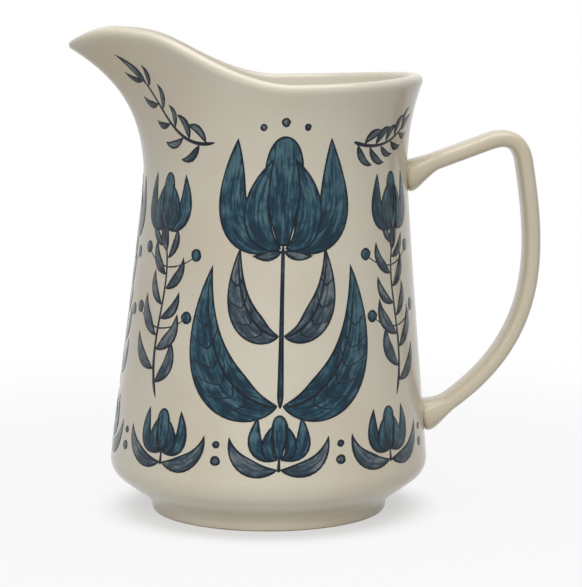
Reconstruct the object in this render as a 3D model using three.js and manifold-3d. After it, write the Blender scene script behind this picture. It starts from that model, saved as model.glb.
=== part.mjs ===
// A stoneware pitcher: a tapering wall on a dished base with a foot ring, a pouring beak let
// into the rim, and a loop handle luted to the wall by two flared lugs.
// Millimetres, +Z up. The beak points along -X and the handle along +X. The origin lies on the
// standing surface, midway between the tip of the beak and the back of the handle.

import * as THREE from "three";
import { mergeVertices } from "three/addons/utils/BufferGeometryUtils.js";
import Module from "manifold-3d";

const wasm = await Module();
wasm.setup();

// Foot ring and base
const FOOT_RADIUS = 50.2; // outside of the ring where it stands
const FOOT_SPLAY = 0.2; // how far the ring widens up to the base
const FOOT_HEIGHT = 6.4;
const FOOT_RING_WIDTH = 7.5;
const FOOT_EDGE = 1.4; // rounding of the ring's standing edge
const FLOOR_THICKNESS = 5;

// Body wall
const SHOULDER_RADIUS = 68.4; // corner where the chamfer under the body meets the wall
const SHOULDER_HEIGHT = 17.4;
const SHOULDER_ROUND = 6.6; // length of the rounding on each side of that corner
const NECK_HEIGHT = 147; // narrowest part of the wall
const NECK_TAPER = 13; // how much smaller its radius is than the shoulder's
const TAPER_EASE = 1.09; // above 1 the taper eases into the neck
const WALL_THICKNESS = 4.8;
const WALL_LEAN = THREE.MathUtils.degToRad(1.55); // the wall's axis leans back to the handle

// Rim, measured at the outer edge of its round
const RIM_HEIGHT = 179.5; // at its lowest, on each side
const RIM_BACK_RISE = 2.4; // how much higher it is above the handle
const RIM_FLARE = 5.3; // how far it turns out beyond the neck
const RIM_THICKNESS = 5.8;
const RIM_FLARE_START = 142; // height at which the wall begins to turn out
const RIM_CURVE = 2.7; // how late it does so

// Beak
const BEAK_REACH = 26.6; // how far its tip stands out beyond the rim's own flare
const BEAK_FLARE_START = 105; // height at which the wall begins to swell into it
const BEAK_CURVE = 4.7; // how late it does so
const BEAK_RISE = 22.2; // how far its shoulders stand above the lowest rim
const BEAK_TIP_DROP = 5.5; // how far its tip dips below those shoulders
const BEAK_THICKNESS = 4; // of the lip at its tip
const BEAK_SPREAD = THREE.MathUtils.degToRad(20.8); // angle from its middle to its flank
const BEAK_CREST = THREE.MathUtils.degToRad(16.7); // where the rim is highest
const RIM_DIP = THREE.MathUtils.degToRad(93.2); // where the rim is lowest
const NOTCH_HALF_WIDTH = 44; // seat of the beak in the wall, at the level of the crest
const NOTCH_BOTTOM = 140; // lowest point of that seat
const SLIP_GAP = 0.3; // line of slip between two members that are luted together

// Handle, in the plane of symmetry
const HANDLE_TOP = 144; // where the centre line of the upper arm meets the wall
const HANDLE_REACH = 51.7; // from the neck out to the corner that the upper arm and grip run to
const HANDLE_CORNER_HEIGHT = 161.5;
const HANDLE_BEND = 14.2; // length of the bend on each side of that corner
const HANDLE_FOOT = 37.8; // where the centre line of the lower arm meets the wall
const LOWER_ARM_RISE = THREE.MathUtils.degToRad(29.5);
const LOWER_ARM_SWEEP = 60.8; // how far the lower arm holds that direction
const GRIP_SPLAY = THREE.MathUtils.degToRad(9); // the grip leans out below the bend
const GRIP_SWEEP = 39.3; // how far the grip holds that direction
const HANDLE_THICKNESS = 7.3;
const HANDLE_WIDTH = 16;
const LUG_LENGTH = 13;
const LUG_WIDTH = 24; // at the wall
const LUG_HEIGHT = 16.2; // at the wall
const LUG_SWELL = 1.4; // how late the lug swells towards the wall
const UPPER_LUG_DROP = 3.2; // how far the upper lug hangs below its arm's centre line
const LUG_BURIED = 9; // run of the lug's loft inside the wall, cut off again at the joint

// Fineness of the faceted surfaces
const AROUND = 72; // facets round the body
const BEAK_CROWDING = 0.4; // share by which those facets are closer together at the beak
const WALL_ROWS = [0, 0.18, 0.38, 0.58, 0.7, 0.76, 0.81, 0.86, 0.9, 0.94, 0.97, 1];
const RIM_STEPS = 4;
const CURVE_STEPS = 4; // per rounded stretch of a profile
const SECTION_POINTS = 16; // round the handle
const HANDLE_STEPS = 34;
const LUG_STEPS = 5;

const footTopRadius = FOOT_RADIUS + FOOT_SPLAY;
const neckRadius = SHOULDER_RADIUS - NECK_TAPER;
const floorHeight = FOOT_HEIGHT + FLOOR_THICKNESS;
const chamferAngle = Math.atan2(SHOULDER_HEIGHT - FOOT_HEIGHT, SHOULDER_RADIUS - footTopRadius);
const taperAngle = Math.atan2(TAPER_EASE * NECK_TAPER, NECK_HEIGHT - SHOULDER_HEIGHT);
const seatHeight = SHOULDER_HEIGHT + SHOULDER_ROUND * Math.cos(taperAngle); // the wall stands here

// Radius of the wall before its rim is turned out.
function barrelRadius(z) {
  const rise = (z - SHOULDER_HEIGHT) / (NECK_HEIGHT - SHOULDER_HEIGHT);
  const left = Math.max(0, 1 - rise);
  return neckRadius + NECK_TAPER * left ** TAPER_EASE;
}

// Height of the rim at an angle from the beak, from 0 to half a turn.
function rimHeight(angle) {
  const towardsBeak = THREE.MathUtils.smoothstep(RIM_DIP - angle, 0, RIM_DIP - BEAK_CREST);
  const towardsHandle = THREE.MathUtils.smoothstep(angle, RIM_DIP, Math.PI);
  const tip = 1 - THREE.MathUtils.smoothstep(angle, 0, BEAK_CREST);
  return RIM_HEIGHT + BEAK_RISE * towardsBeak + RIM_BACK_RISE * towardsHandle - BEAK_TIP_DROP * tip;
}

// How much of the beak there is at an angle from its middle.
function beakShare(angle) {
  return Math.exp(-((angle / BEAK_SPREAD) ** 2));
}

// How far the wall is turned out at a height below the rim, at an angle from the beak.
function turnOut(angle, z) {
  const top = rimHeight(angle);
  const share = (start, curve) => Math.max(0, (z - start) / (top - start)) ** curve;
  const beakReach = BEAK_REACH * beakShare(angle);
  return RIM_FLARE * share(RIM_FLARE_START, RIM_CURVE) + beakReach * share(BEAK_FLARE_START, BEAK_CURVE);
}

// The angle from the beak to a turn, either way round.
function fromBeak(turn) {
  return Math.abs(turn > Math.PI ? turn - 2 * Math.PI : turn);
}

// A point on the outside of the wall: turn runs once round from the beak, rise from 0 at the
// seat to 1 at the rim, and swell moves the point outwards.
function wallPoint(turn, rise, swell = 0) {
  const angle = fromBeak(turn);
  const z = seatHeight + rise * (rimHeight(angle) - seatHeight);
  const radius = barrelRadius(z) + turnOut(angle, z) + swell;
  const centre = Math.tan(WALL_LEAN) * (z - seatHeight);
  return new THREE.Vector3(centre - radius * Math.cos(turn), -radius * Math.sin(turn), z);
}

// The way up along the wall and the way out of it, at a point on its outside.
function wallFrame(turn, rise) {
  const step = 1e-3;
  const up = wallPoint(turn, rise + step).sub(wallPoint(turn, rise - step)).normalize();
  const along = wallPoint(turn + step, rise).sub(wallPoint(turn - step, rise));
  return { up, out: new THREE.Vector3().crossVectors(along, up).normalize() };
}

// Turns of the body's facets, closer together at the beak.
const turns = Array.from({ length: AROUND }, (_, i) => {
  const even = (2 * Math.PI * i) / AROUND;
  return even - BEAK_CROWDING * Math.sin(even);
});

// A closed surface through rings of points. Looped rings join the last to the first, and open
// ones are closed by a fan at each end.
function loft(rings, looped = false) {
  const size = rings[0].length;
  const points = rings.flat();
  const faces = [];
  const joins = looped ? rings.length : rings.length - 1;
  for (let i = 0; i < joins; i++) {
    const here = i * size;
    const next = ((i + 1) % rings.length) * size;
    for (let j = 0; j < size; j++) {
      const k = (j + 1) % size;
      faces.push(here + j, here + k, next + k, here + j, next + k, next + j);
    }
  }
  if (!looped) {
    const last = (rings.length - 1) * size;
    const middles = [rings[0], rings.at(-1)].map((ring) =>
      ring.reduce((sum, p) => sum.add(p), new THREE.Vector3()).divideScalar(size),
    );
    const first = points.push(...middles) - 2;
    for (let j = 0; j < size; j++) {
      const k = (j + 1) % size;
      faces.push(first, k, j, first + 1, last + j, last + k);
    }
  }
  return new THREE.BufferGeometry().setFromPoints(points).setIndex(faces);
}

// A turned solid from a profile of radius against height.
function turned(profile) {
  return new THREE.LatheGeometry(profile, AROUND).rotateX(Math.PI / 2);
}

// A geometry as a solid that can be cut and joined, and back again.
function toSolid(geometry) {
  const bare = geometry.clone();
  bare.deleteAttribute("normal");
  bare.deleteAttribute("uv");
  const merged = mergeVertices(bare);
  return new wasm.Manifold(
    new wasm.Mesh({
      numProp: 3,
      vertProperties: merged.attributes.position.array,
      triVerts: new Uint32Array(merged.index.array),
    }),
  );
}

function toGeometry(solid) {
  const mesh = solid.getMesh();
  return new THREE.BufferGeometry()
    .setAttribute("position", new THREE.BufferAttribute(mesh.vertProperties, 3))
    .setIndex(new THREE.BufferAttribute(mesh.triVerts, 1));
}

// Foot ring: a low splayed ring with a rounded standing edge.
function footRing() {
  const outline = new THREE.Path()
    .moveTo(footTopRadius - FOOT_RING_WIDTH, FOOT_HEIGHT)
    .lineTo(FOOT_RADIUS - FOOT_RING_WIDTH, 0)
    .lineTo(FOOT_RADIUS - FOOT_EDGE, 0)
    .quadraticCurveTo(FOOT_RADIUS, 0, FOOT_RADIUS, FOOT_EDGE)
    .lineTo(footTopRadius, FOOT_HEIGHT)
    .lineTo(footTopRadius - FOOT_RING_WIDTH, FOOT_HEIGHT);
  return turned(outline.getPoints(CURVE_STEPS));
}

// Base: the floor and the chamfered turn up to the shoulder, as one dish. Its inside follows its
// outside at the wall's thickness.
function baseDish() {
  const away = new THREE.Vector2(Math.cos(chamferAngle), Math.sin(chamferAngle));
  const corner = new THREE.Vector2(SHOULDER_RADIUS, SHOULDER_HEIGHT);
  const turnIn = corner.clone().addScaledVector(away, -SHOULDER_ROUND);
  const insideRadius = barrelRadius(seatHeight) - WALL_THICKNESS;
  const insideRun = insideRadius - footTopRadius;
  const insideCorner = FOOT_HEIGHT + insideRun * Math.tan(chamferAngle) + WALL_THICKNESS / away.x;
  const insideEase = Math.min(SHOULDER_ROUND, seatHeight - insideCorner);
  const floorRun = (insideCorner - floorHeight) / Math.tan(chamferAngle);
  const outline = new THREE.Path()
    .moveTo(0, FOOT_HEIGHT)
    .lineTo(footTopRadius, FOOT_HEIGHT)
    .lineTo(turnIn.x, turnIn.y)
    .quadraticCurveTo(corner.x, corner.y, barrelRadius(seatHeight), seatHeight)
    .lineTo(insideRadius, seatHeight)
    .quadraticCurveTo(
      insideRadius,
      insideCorner,
      insideRadius - insideEase * away.x,
      insideCorner - insideEase * away.y,
    )
    .lineTo(insideRadius - floorRun, floorHeight)
    .lineTo(0, floorHeight);
  return turned(outline.getPoints(CURVE_STEPS));
}

// Section of the wall at one turn: up the inside, over the round rim and down the outside.
function wallSection(turn) {
  const lip = THREE.MathUtils.lerp(RIM_THICKNESS, BEAK_THICKNESS, beakShare(fromBeak(turn)));
  const outside = WALL_ROWS.map((rise) => wallPoint(turn, rise));
  const inside = WALL_ROWS.map((rise, row) => {
    const thickness = THREE.MathUtils.lerp(WALL_THICKNESS, lip, rise);
    const { out } = wallFrame(turn, rise);
    if (rise === 0) out.setZ(0).normalize();
    return outside[row].clone().addScaledVector(out, -thickness);
  });
  const edge = wallFrame(turn, 1);
  const middle = outside.at(-1).clone().lerp(inside.at(-1), 0.5);
  const rim = [];
  for (let i = 1; i < RIM_STEPS; i++) {
    const sweep = (Math.PI * i) / RIM_STEPS;
    rim.push(
      middle
        .clone()
        .addScaledVector(edge.out, (-lip / 2) * Math.cos(sweep))
        .addScaledVector(edge.up, (lip / 2) * Math.sin(sweep)),
    );
  }
  return [...inside, ...rim, ...outside.reverse()];
}

// The seat cut in the wall for the beak, drawn across the body and run through the wall at the
// beak's side. Inset leaves the line of slip on the beak's own edge.
function beakSeat(inset) {
  const crest = RIM_HEIGHT + BEAK_RISE;
  const above = crest + BEAK_RISE;
  const half = NOTCH_HALF_WIDTH - inset;
  const bottom = NOTCH_BOTTOM + inset;
  const outline = new THREE.Shape()
    .moveTo(-half, above)
    .lineTo(-half, crest)
    .bezierCurveTo(-half, (bottom + crest) / 2, -half / 2, bottom, 0, bottom)
    .bezierCurveTo(half / 2, bottom, half, (bottom + crest) / 2, half, crest)
    .lineTo(half, above);
  const reach = 2 * (neckRadius + RIM_FLARE + BEAK_REACH);
  return new THREE.ExtrudeGeometry(outline, {
    depth: reach,
    bevelEnabled: false,
    curveSegments: 2 * CURVE_STEPS,
  }).applyMatrix4(
    new THREE.Matrix4()
      .makeBasis(new THREE.Vector3(0, -1, 0), new THREE.Vector3(0, 0, 1), new THREE.Vector3(-1, 0, 0)),
  );
}

// The wall and the beak are one continuous skin, parted at the beak's seat.
const wholeWall = toSolid(loft(turns.map(wallSection), true));
const bodyWall = toGeometry(wholeWall.subtract(toSolid(beakSeat(0))));
const beak = toGeometry(wholeWall.intersect(toSolid(beakSeat(SLIP_GAP))));

// Everything inside the body's outline, grown by the line of slip, which trims the lugs.
const bodyEnvelope = toSolid(
  loft([
    turns.map((turn) => wallPoint(turn, 0, SLIP_GAP).setZ(FOOT_HEIGHT)),
    ...WALL_ROWS.map((rise) => turns.map((turn) => wallPoint(turn, rise, SLIP_GAP))),
  ]),
);

// Where the wall's back stands at a height, on the handle's side.
function wallBack(z) {
  return barrelRadius(z) + Math.tan(WALL_LEAN) * (z - seatHeight);
}

// Centre line of the handle from wall to wall: upper arm, bend, grip and lower arm.
function handleLine() {
  const top = new THREE.Vector3(wallBack(HANDLE_TOP), 0, HANDLE_TOP);
  const corner = new THREE.Vector3(neckRadius + HANDLE_REACH, 0, HANDLE_CORNER_HEIGHT);
  const bottom = new THREE.Vector3(wallBack(HANDLE_FOOT), 0, HANDLE_FOOT);
  const armWay = corner.clone().sub(top).normalize();
  const gripWay = new THREE.Vector3(Math.sin(GRIP_SPLAY), 0, -Math.cos(GRIP_SPLAY));
  const lowerWay = new THREE.Vector3(Math.cos(LOWER_ARM_RISE), 0, Math.sin(LOWER_ARM_RISE));
  const bendStart = corner.clone().addScaledVector(armWay, -HANDLE_BEND);
  const bendEnd = corner.clone().addScaledVector(gripWay, HANDLE_BEND);
  const line = new THREE.CurvePath();
  line.add(new THREE.LineCurve3(top, bendStart));
  line.add(new THREE.QuadraticBezierCurve3(bendStart, corner, bendEnd));
  line.add(
    new THREE.CubicBezierCurve3(
      bendEnd,
      bendEnd.clone().addScaledVector(gripWay, GRIP_SWEEP),
      bottom.clone().addScaledVector(lowerWay, LOWER_ARM_SWEEP),
      bottom,
    ),
  );
  return line;
}

const centreLine = handleLine();
const lineLength = centreLine.getLength();

// An oval section at a distance along the centre line. Flare runs from 0, where it is the plain
// strap square to the line, to 1 at the wall, where it is the lug's and stands upright.
function handleSection(distance, flare = 0, drop = 0) {
  const share = THREE.MathUtils.clamp(distance / lineLength, 0, 1);
  const way = centreLine.getTangentAt(share);
  const across = new THREE.Vector3(0, 1, 0);
  const over = new THREE.Vector3().crossVectors(way, across);
  over.lerp(new THREE.Vector3(0, 0, Math.sign(over.z)), flare).normalize();
  const centre = centreLine.getPointAt(share);
  centre.addScaledVector(way, distance - share * lineLength);
  centre.z -= drop * flare;
  const halfWidth = THREE.MathUtils.lerp(HANDLE_WIDTH, LUG_WIDTH, flare) / 2;
  const halfHeight = THREE.MathUtils.lerp(HANDLE_THICKNESS, LUG_HEIGHT, flare) / 2;
  return Array.from({ length: SECTION_POINTS }, (_, i) => {
    const sweep = (2 * Math.PI * i) / SECTION_POINTS;
    return centre
      .clone()
      .addScaledVector(across, halfWidth * Math.cos(sweep))
      .addScaledVector(over, halfHeight * Math.sin(sweep));
  });
}

// Handle between its two lugs.
function handleLoop() {
  const run = lineLength - 2 * LUG_LENGTH;
  return loft(
    Array.from({ length: HANDLE_STEPS + 1 }, (_, i) =>
      handleSection(LUG_LENGTH + (run * i) / HANDLE_STEPS),
    ),
  );
}

// A lug that flares from the handle's section to the wall and is trimmed to fit it. The upper lug
// starts the centre line and the lower one ends it.
function lug(upper) {
  const drop = upper ? UPPER_LUG_DROP : 0;
  const rings = [];
  for (let i = -1; i <= LUG_STEPS; i++) {
    const fromWall = i < 0 ? -LUG_BURIED : (LUG_LENGTH * i) / LUG_STEPS;
    const flare = Math.min(1, (1 - fromWall / LUG_LENGTH) ** LUG_SWELL);
    rings.push(handleSection(upper ? fromWall : lineLength - fromWall, flare, drop));
  }
  if (!upper) rings.reverse();
  return toGeometry(toSolid(loft(rings)).subtract(bodyEnvelope));
}

const glaze = { color: 0xcfc5b1, roughness: 0.18, metalness: 0 };
const bareClay = { color: 0xb9a98c, roughness: 0.85, metalness: 0 };

const pitcher = new THREE.Group();

function place(name, geometry, finish) {
  const mesh = new THREE.Mesh(geometry, new THREE.MeshStandardMaterial(finish));
  mesh.name = name;
  pitcher.add(mesh);
}

place("foot_ring", footRing(), bareClay);
place("base_dish", baseDish(), glaze);
place("body_wall", bodyWall, glaze);
place("spout_beak", beak, glaze);
place("handle_loop", handleLoop(), glaze);
place("upper_handle_lug", lug(true), glaze);
place("lower_handle_lug", lug(false), glaze);

// The body's axis stands off the origin so that beak and handle reach equally far from it.
const reach = new THREE.Box3().setFromObject(pitcher);
pitcher.position.x = -(reach.min.x + reach.max.x) / 2;

export default pitcher;
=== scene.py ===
"""Looks of a stoneware pitcher on a pale floor under soft studio light.

The pitcher is a glazed body with a pouring beak, a foot ring, a loop handle and ornament brushed
under the glaze. Sizes in the classes are in millimetres from the centre of the foot, and the
meshes are in metres in the frame of the part.
"""

import logging
import math
from collections.abc import Sequence
from dataclasses import dataclass, field
from enum import Enum

import bpy
import numpy as np
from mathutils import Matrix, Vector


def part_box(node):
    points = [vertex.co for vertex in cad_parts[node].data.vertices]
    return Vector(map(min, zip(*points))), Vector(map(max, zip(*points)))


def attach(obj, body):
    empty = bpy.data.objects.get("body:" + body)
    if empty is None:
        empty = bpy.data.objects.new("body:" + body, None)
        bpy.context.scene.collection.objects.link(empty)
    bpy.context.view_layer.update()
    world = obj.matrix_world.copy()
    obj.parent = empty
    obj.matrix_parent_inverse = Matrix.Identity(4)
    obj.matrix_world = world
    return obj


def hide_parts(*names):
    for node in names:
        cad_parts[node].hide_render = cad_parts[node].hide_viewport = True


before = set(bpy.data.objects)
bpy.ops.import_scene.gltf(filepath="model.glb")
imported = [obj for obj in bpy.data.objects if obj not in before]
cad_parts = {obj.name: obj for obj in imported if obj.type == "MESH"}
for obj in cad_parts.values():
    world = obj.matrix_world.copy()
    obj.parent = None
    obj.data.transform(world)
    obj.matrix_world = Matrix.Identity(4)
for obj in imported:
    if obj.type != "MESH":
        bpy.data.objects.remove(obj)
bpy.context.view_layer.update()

log = logging.getLogger("pitcher")

Array = np.ndarray
Rgba = tuple[float, float, float, float]

MM = 0.001
BODY = "root"
PHOTO_HEIGHT = 587  # pixels on the long side of the frame
FULL_TURN = 2 * math.pi
GREY = (0.3, 0.7)  # usual range of the grey value of a noise


def srgb(red: int, green: int, blue: int) -> Rgba:
    """Turns a colour as it is seen on screen into the linear colour that shaders take.

    Args:
        red: Red, from 0 to 255.
        green: Green, from 0 to 255.
        blue: Blue, from 0 to 255.

    Returns:
        The linear colour, opaque.
    """
    def linear(value: int) -> float:
        """One channel."""
        share = value / 255
        return share / 12.92 if share <= 0.04045 else ((share + 0.055) / 1.055) ** 2.4

    return (linear(red), linear(green), linear(blue), 1.0)


def smoothstep(x: Array | float, low: float, high: float) -> Array:
    """Eases from 0 at low to 1 at high.

    Args:
        x: Where to evaluate.
        low: Start of the rise.
        high: End of the rise.

    Returns:
        The eased share.
    """
    share = np.clip((np.asarray(x, dtype=float) - low) / (high - low), 0, 1)
    return share * share * (3 - 2 * share)


def bezier(share: Array, *points: tuple[float, ...] | Array) -> Array:
    """Points of a Bezier curve of any degree.

    Args:
        share: Where along the curve, from 0 to 1.
        points: The curve's control points.

    Returns:
        One point a row.
    """
    layer = [np.asarray(point, dtype=float)[None, :] for point in points]
    share = np.asarray(share, dtype=float)[:, None]
    while len(layer) > 1:
        layer = [a * (1 - share) + b * share for a, b in zip(layer, layer[1:])]
    return np.broadcast_to(layer[0], (len(share), layer[0].shape[1]))


def unit(vectors: Array) -> Array:
    """Vectors of length 1 in the same directions."""
    return vectors / np.linalg.norm(vectors, axis=-1, keepdims=True)


def run_along(points: Array) -> Array:
    """How far along a line of points each of them lies."""
    return np.concatenate(([0], np.cumsum(np.linalg.norm(np.diff(points, axis=0), axis=1))))


def from_beak(turn: Array) -> Array:
    """Angle from the beak, on either side of it, of a way round."""
    return np.abs((turn + math.pi) % FULL_TURN - math.pi)


def even_turns(count: int) -> Array:
    """Ways round of evenly spaced points of a ring."""
    return np.arange(count) * FULL_TURN / count


def lathe(profile: Array, turn: Array) -> list[Array]:
    """Rings of a profile that is turned about the body's axis.

    Args:
        profile: Radius and height in each row.
        turn: Way round from the beak of each point of a ring.

    Returns:
        One ring for each row.
    """
    return [np.stack((-r * np.cos(turn), -r * np.sin(turn), np.full_like(turn, z)), axis=-1)
            for r, z in profile]


class NodeSheet:
    """A small hand for laying out the nodes of a finish, the floor or the sky."""

    def __init__(self, tree: bpy.types.NodeTree) -> None:
        """Takes up the tree that the nodes go into."""
        self.tree = tree

    def add(self, kind: str, **settings: object) -> bpy.types.Node:
        """Adds a node.

        Args:
            kind: Blender's name of the node type.
            settings: Properties of the node and, by socket name, values of its inputs.

        Returns:
            The new node.
        """
        node = self.tree.nodes.new(kind)
        for key, value in settings.items():
            if hasattr(node, key):
                setattr(node, key, value)
            else:
                node.inputs[key.replace("_", " ")].default_value = value
        return node

    def join(self, source: bpy.types.NodeSocket, target: bpy.types.NodeSocket) -> None:
        """Links two sockets."""
        self.tree.links.new(source, target)

    def here(self) -> bpy.types.NodeSocket:
        """Where a point lies in its object, in metres."""
        return self.add("ShaderNodeTexCoord").outputs["Object"]

    def noise(self, where: bpy.types.NodeSocket, scale: float, detail: float = 2.0,
              roughness: float = 0.5) -> bpy.types.NodeSocket:
        """Adds a noise texture.

        Args:
            where: Coordinates to read it at.
            scale: Waves per unit of those coordinates.
            detail: How many finer layers it has.
            roughness: How strong the finer layers are.

        Returns:
            Its grey value, about 0.3 to 0.7.
        """
        node = self.add("ShaderNodeTexNoise", Scale=scale, Detail=detail, Roughness=roughness)
        self.join(where, node.inputs["Vector"])
        return node.outputs["Fac"]

    def math(self, operation: str, first: bpy.types.NodeSocket,
             second: bpy.types.NodeSocket | float) -> bpy.types.NodeSocket:
        """Adds a sum on two values.

        Args:
            operation: Blender's name of the sum.
            first: The first value.
            second: The second value, linked or fixed.

        Returns:
            The result.
        """
        node = self.add("ShaderNodeMath", operation=operation)
        self.join(first, node.inputs[0])
        if isinstance(second, (int, float)):
            node.inputs[1].default_value = second
        else:
            self.join(second, node.inputs[1])
        return node.outputs[0]

    def span(self, value: bpy.types.NodeSocket, low: float, high: float, to_low: float,
             to_high: float) -> bpy.types.NodeSocket:
        """Maps one range of a value smoothly onto another.

        Args:
            value: The value to map.
            low: Start of its range.
            high: End of its range.
            to_low: What the start becomes.
            to_high: What the end becomes.

        Returns:
            The mapped value.
        """
        node = self.add("ShaderNodeMapRange", interpolation_type="SMOOTHSTEP")
        for socket, number in zip(list(node.inputs)[1:5], (low, high, to_low, to_high)):
            socket.default_value = number
        self.join(value, node.inputs["Value"])
        return node.outputs["Result"]

    def ramp(self, value: bpy.types.NodeSocket,
             stops: tuple[tuple[float, Rgba], ...]) -> bpy.types.NodeSocket:
        """Adds a colour ramp.

        Args:
            value: What picks the colour.
            stops: Place and colour of each stop.

        Returns:
            The picked colour.
        """
        node = self.add("ShaderNodeValToRGB")
        elements = node.color_ramp.elements
        while len(elements) < len(stops):
            elements.new(0.5)
        for element, (place, colour) in zip(elements, stops):
            element.position, element.color = place, colour
        self.join(value, node.inputs["Fac"])
        return node.outputs["Color"]

    def mix(self, share: bpy.types.NodeSocket, first: bpy.types.NodeSocket | Rgba,
            second: bpy.types.NodeSocket | Rgba) -> bpy.types.NodeSocket:
        """Mixes two colours.

        Args:
            share: How much of the second colour shows.
            first: The colour at share 0.
            second: The colour at share 1.

        Returns:
            The mixed colour.
        """
        node = self.add("ShaderNodeMix", data_type="RGBA")
        self.join(share, node.inputs["Factor"])
        for socket, colour in zip((node.inputs[6], node.inputs[7]), (first, second)):
            if isinstance(colour, tuple):
                socket.default_value = colour
            else:
                self.join(colour, socket)
        return node.outputs[2]

    def attribute(self, name: str) -> tuple[bpy.types.NodeSocket, ...]:
        """Reads a vector that is stored on the mesh.

        Args:
            name: Name of the attribute.

        Returns:
            The whole vector and its three parts.
        """
        node = self.add("ShaderNodeAttribute", attribute_name=name)
        parts = self.add("ShaderNodeSeparateXYZ")
        self.join(node.outputs["Vector"], parts.inputs[0])
        return (node.outputs["Vector"], *parts.outputs)


class FinishSheet(NodeSheet):
    """The nodes of one finish, laid out before its Principled shader."""

    def __init__(self, name: str) -> None:
        """Starts a material.

        Args:
            name: Name of the material.
        """
        self.material = bpy.data.materials.new(name)
        self.material.use_nodes = True
        super().__init__(self.material.node_tree)
        self.shader = self.tree.nodes["Principled BSDF"]

    def bump(self, height: bpy.types.NodeSocket, strength: float, distance: float) -> None:
        """Raises the surface by a height, for shading.

        Args:
            height: The height, about 0 to 1.
            strength: How strongly it shows.
            distance: How far 1 stands out, in metres.
        """
        node = self.add("ShaderNodeBump", Strength=strength, Distance=distance)
        self.join(height, node.inputs["Height"])
        self.join(node.outputs["Normal"], self.shader.inputs["Normal"])

    def dress(self, colour: bpy.types.NodeSocket, roughness: bpy.types.NodeSocket,
              specular: float) -> bpy.types.Material:
        """Gives the shader its colour and gloss.

        Args:
            colour: The colour of the surface.
            roughness: How matt it is.
            specular: How strongly it reflects, 0.5 being plain glass.

        Returns:
            The finished material.
        """
        self.join(colour, self.shader.inputs["Base Color"])
        self.join(roughness, self.shader.inputs["Roughness"])
        self.shader.inputs["Specular IOR Level"].default_value = specular
        return self.material


@dataclass(frozen=True)
class CreamGlaze:
    """Clear gloss glaze on a cream stoneware body. Scales are in waves to the metre."""

    pale: Rgba = srgb(211, 204, 187)
    warm: Rgba = srgb(205, 195, 175)
    # glaze pooled thick, and painted shade: darker and warmer in corners, in the hollow under the
    # beak and on the handle
    pooled_and_shaded: Rgba = srgb(199, 186, 158)
    # glaze run thin at the rim, and painted highlight: a little lighter there
    thin_glaze_and_highlight: Rgba = srgb(213, 206, 189)
    speck: Rgba = srgb(170, 154, 128)
    cloud_scale: float = 16.0
    cloud_range: tuple[float, float] = (0.32, 0.68)
    grain_scale: float = 330.0
    grain_range: tuple[float, float] = (0.5, 0.8)
    grain_show: float = 0.35  # how much of the warm colour the grain brings in
    thin_and_highlight_show: float = 0.55  # how far the colour changes where the glaze is thin, with a painted highlight there
    pool_and_shade_show: float = 0.8  # and where it lies thick, with painted shade
    speck_scale: float = 240.0
    speck_size: tuple[float, float] = (0.05, 0.13)  # in cells, where a speck fades out
    speck_choice: tuple[float, float] = (0.92, 0.94)  # cells with a number above this have one
    speck_show: float = 0.4
    roughness: tuple[float, float] = (0.14, 0.2)
    ripple_scale: float = 45.0
    ripple: float = 0.12
    specular: float = 0.5

    def make(self) -> bpy.types.Material:
        """Lays out the glaze.

        Returns:
            The material.
        """
        sheet = FinishSheet("cream_glaze")
        where = sheet.here()
        cloud = sheet.noise(where, self.cloud_scale, detail=3)
        grain = sheet.noise(where, self.grain_scale, detail=3, roughness=0.6)
        # the glaze attribute carries the thin rim with its painted highlight, and the pools with
        # their painted shade
        _, thin_glaze_and_highlight, pool, _ = sheet.attribute("glaze")
        colour = sheet.mix(sheet.span(cloud, *self.cloud_range, 0, 1), self.pale, self.warm)
        grained = sheet.span(grain, *self.grain_range, 0, self.grain_show)
        colour = sheet.mix(grained, colour, self.warm)
        # painted highlight on the rim, as thin glaze
        colour = sheet.mix(sheet.math("MULTIPLY", thin_glaze_and_highlight, self.thin_and_highlight_show), colour, self.thin_glaze_and_highlight)
        # painted shade in corners and hollows, as pooled glaze
        colour = sheet.mix(sheet.math("MULTIPLY", pool, self.pool_and_shade_show), colour, self.pooled_and_shaded)
        colour = sheet.mix(self.specks(sheet, where), colour, self.speck)
        sheet.bump(sheet.noise(where, self.ripple_scale, detail=1), self.ripple, MM)
        return sheet.dress(colour, sheet.span(cloud, *GREY, *self.roughness), self.specular)

    def specks(self, sheet: FinishSheet, where: bpy.types.NodeSocket) -> bpy.types.NodeSocket:
        """Scatters dark specks.

        Args:
            sheet: The sheet that takes their nodes.
            where: Coordinates to scatter them in.

        Returns:
            How strongly a speck shows.
        """
        cells = sheet.add("ShaderNodeTexVoronoi", Scale=self.speck_scale)
        sheet.join(where, cells.inputs["Vector"])
        number = sheet.add("ShaderNodeSeparateColor")
        sheet.join(cells.outputs["Color"], number.inputs[0])
        dot = sheet.span(cells.outputs["Distance"], *self.speck_size, 1, 0)
        chosen = sheet.span(number.outputs[0], *self.speck_choice, 0, self.speck_show)
        return sheet.math("MULTIPLY", dot, chosen)


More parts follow.
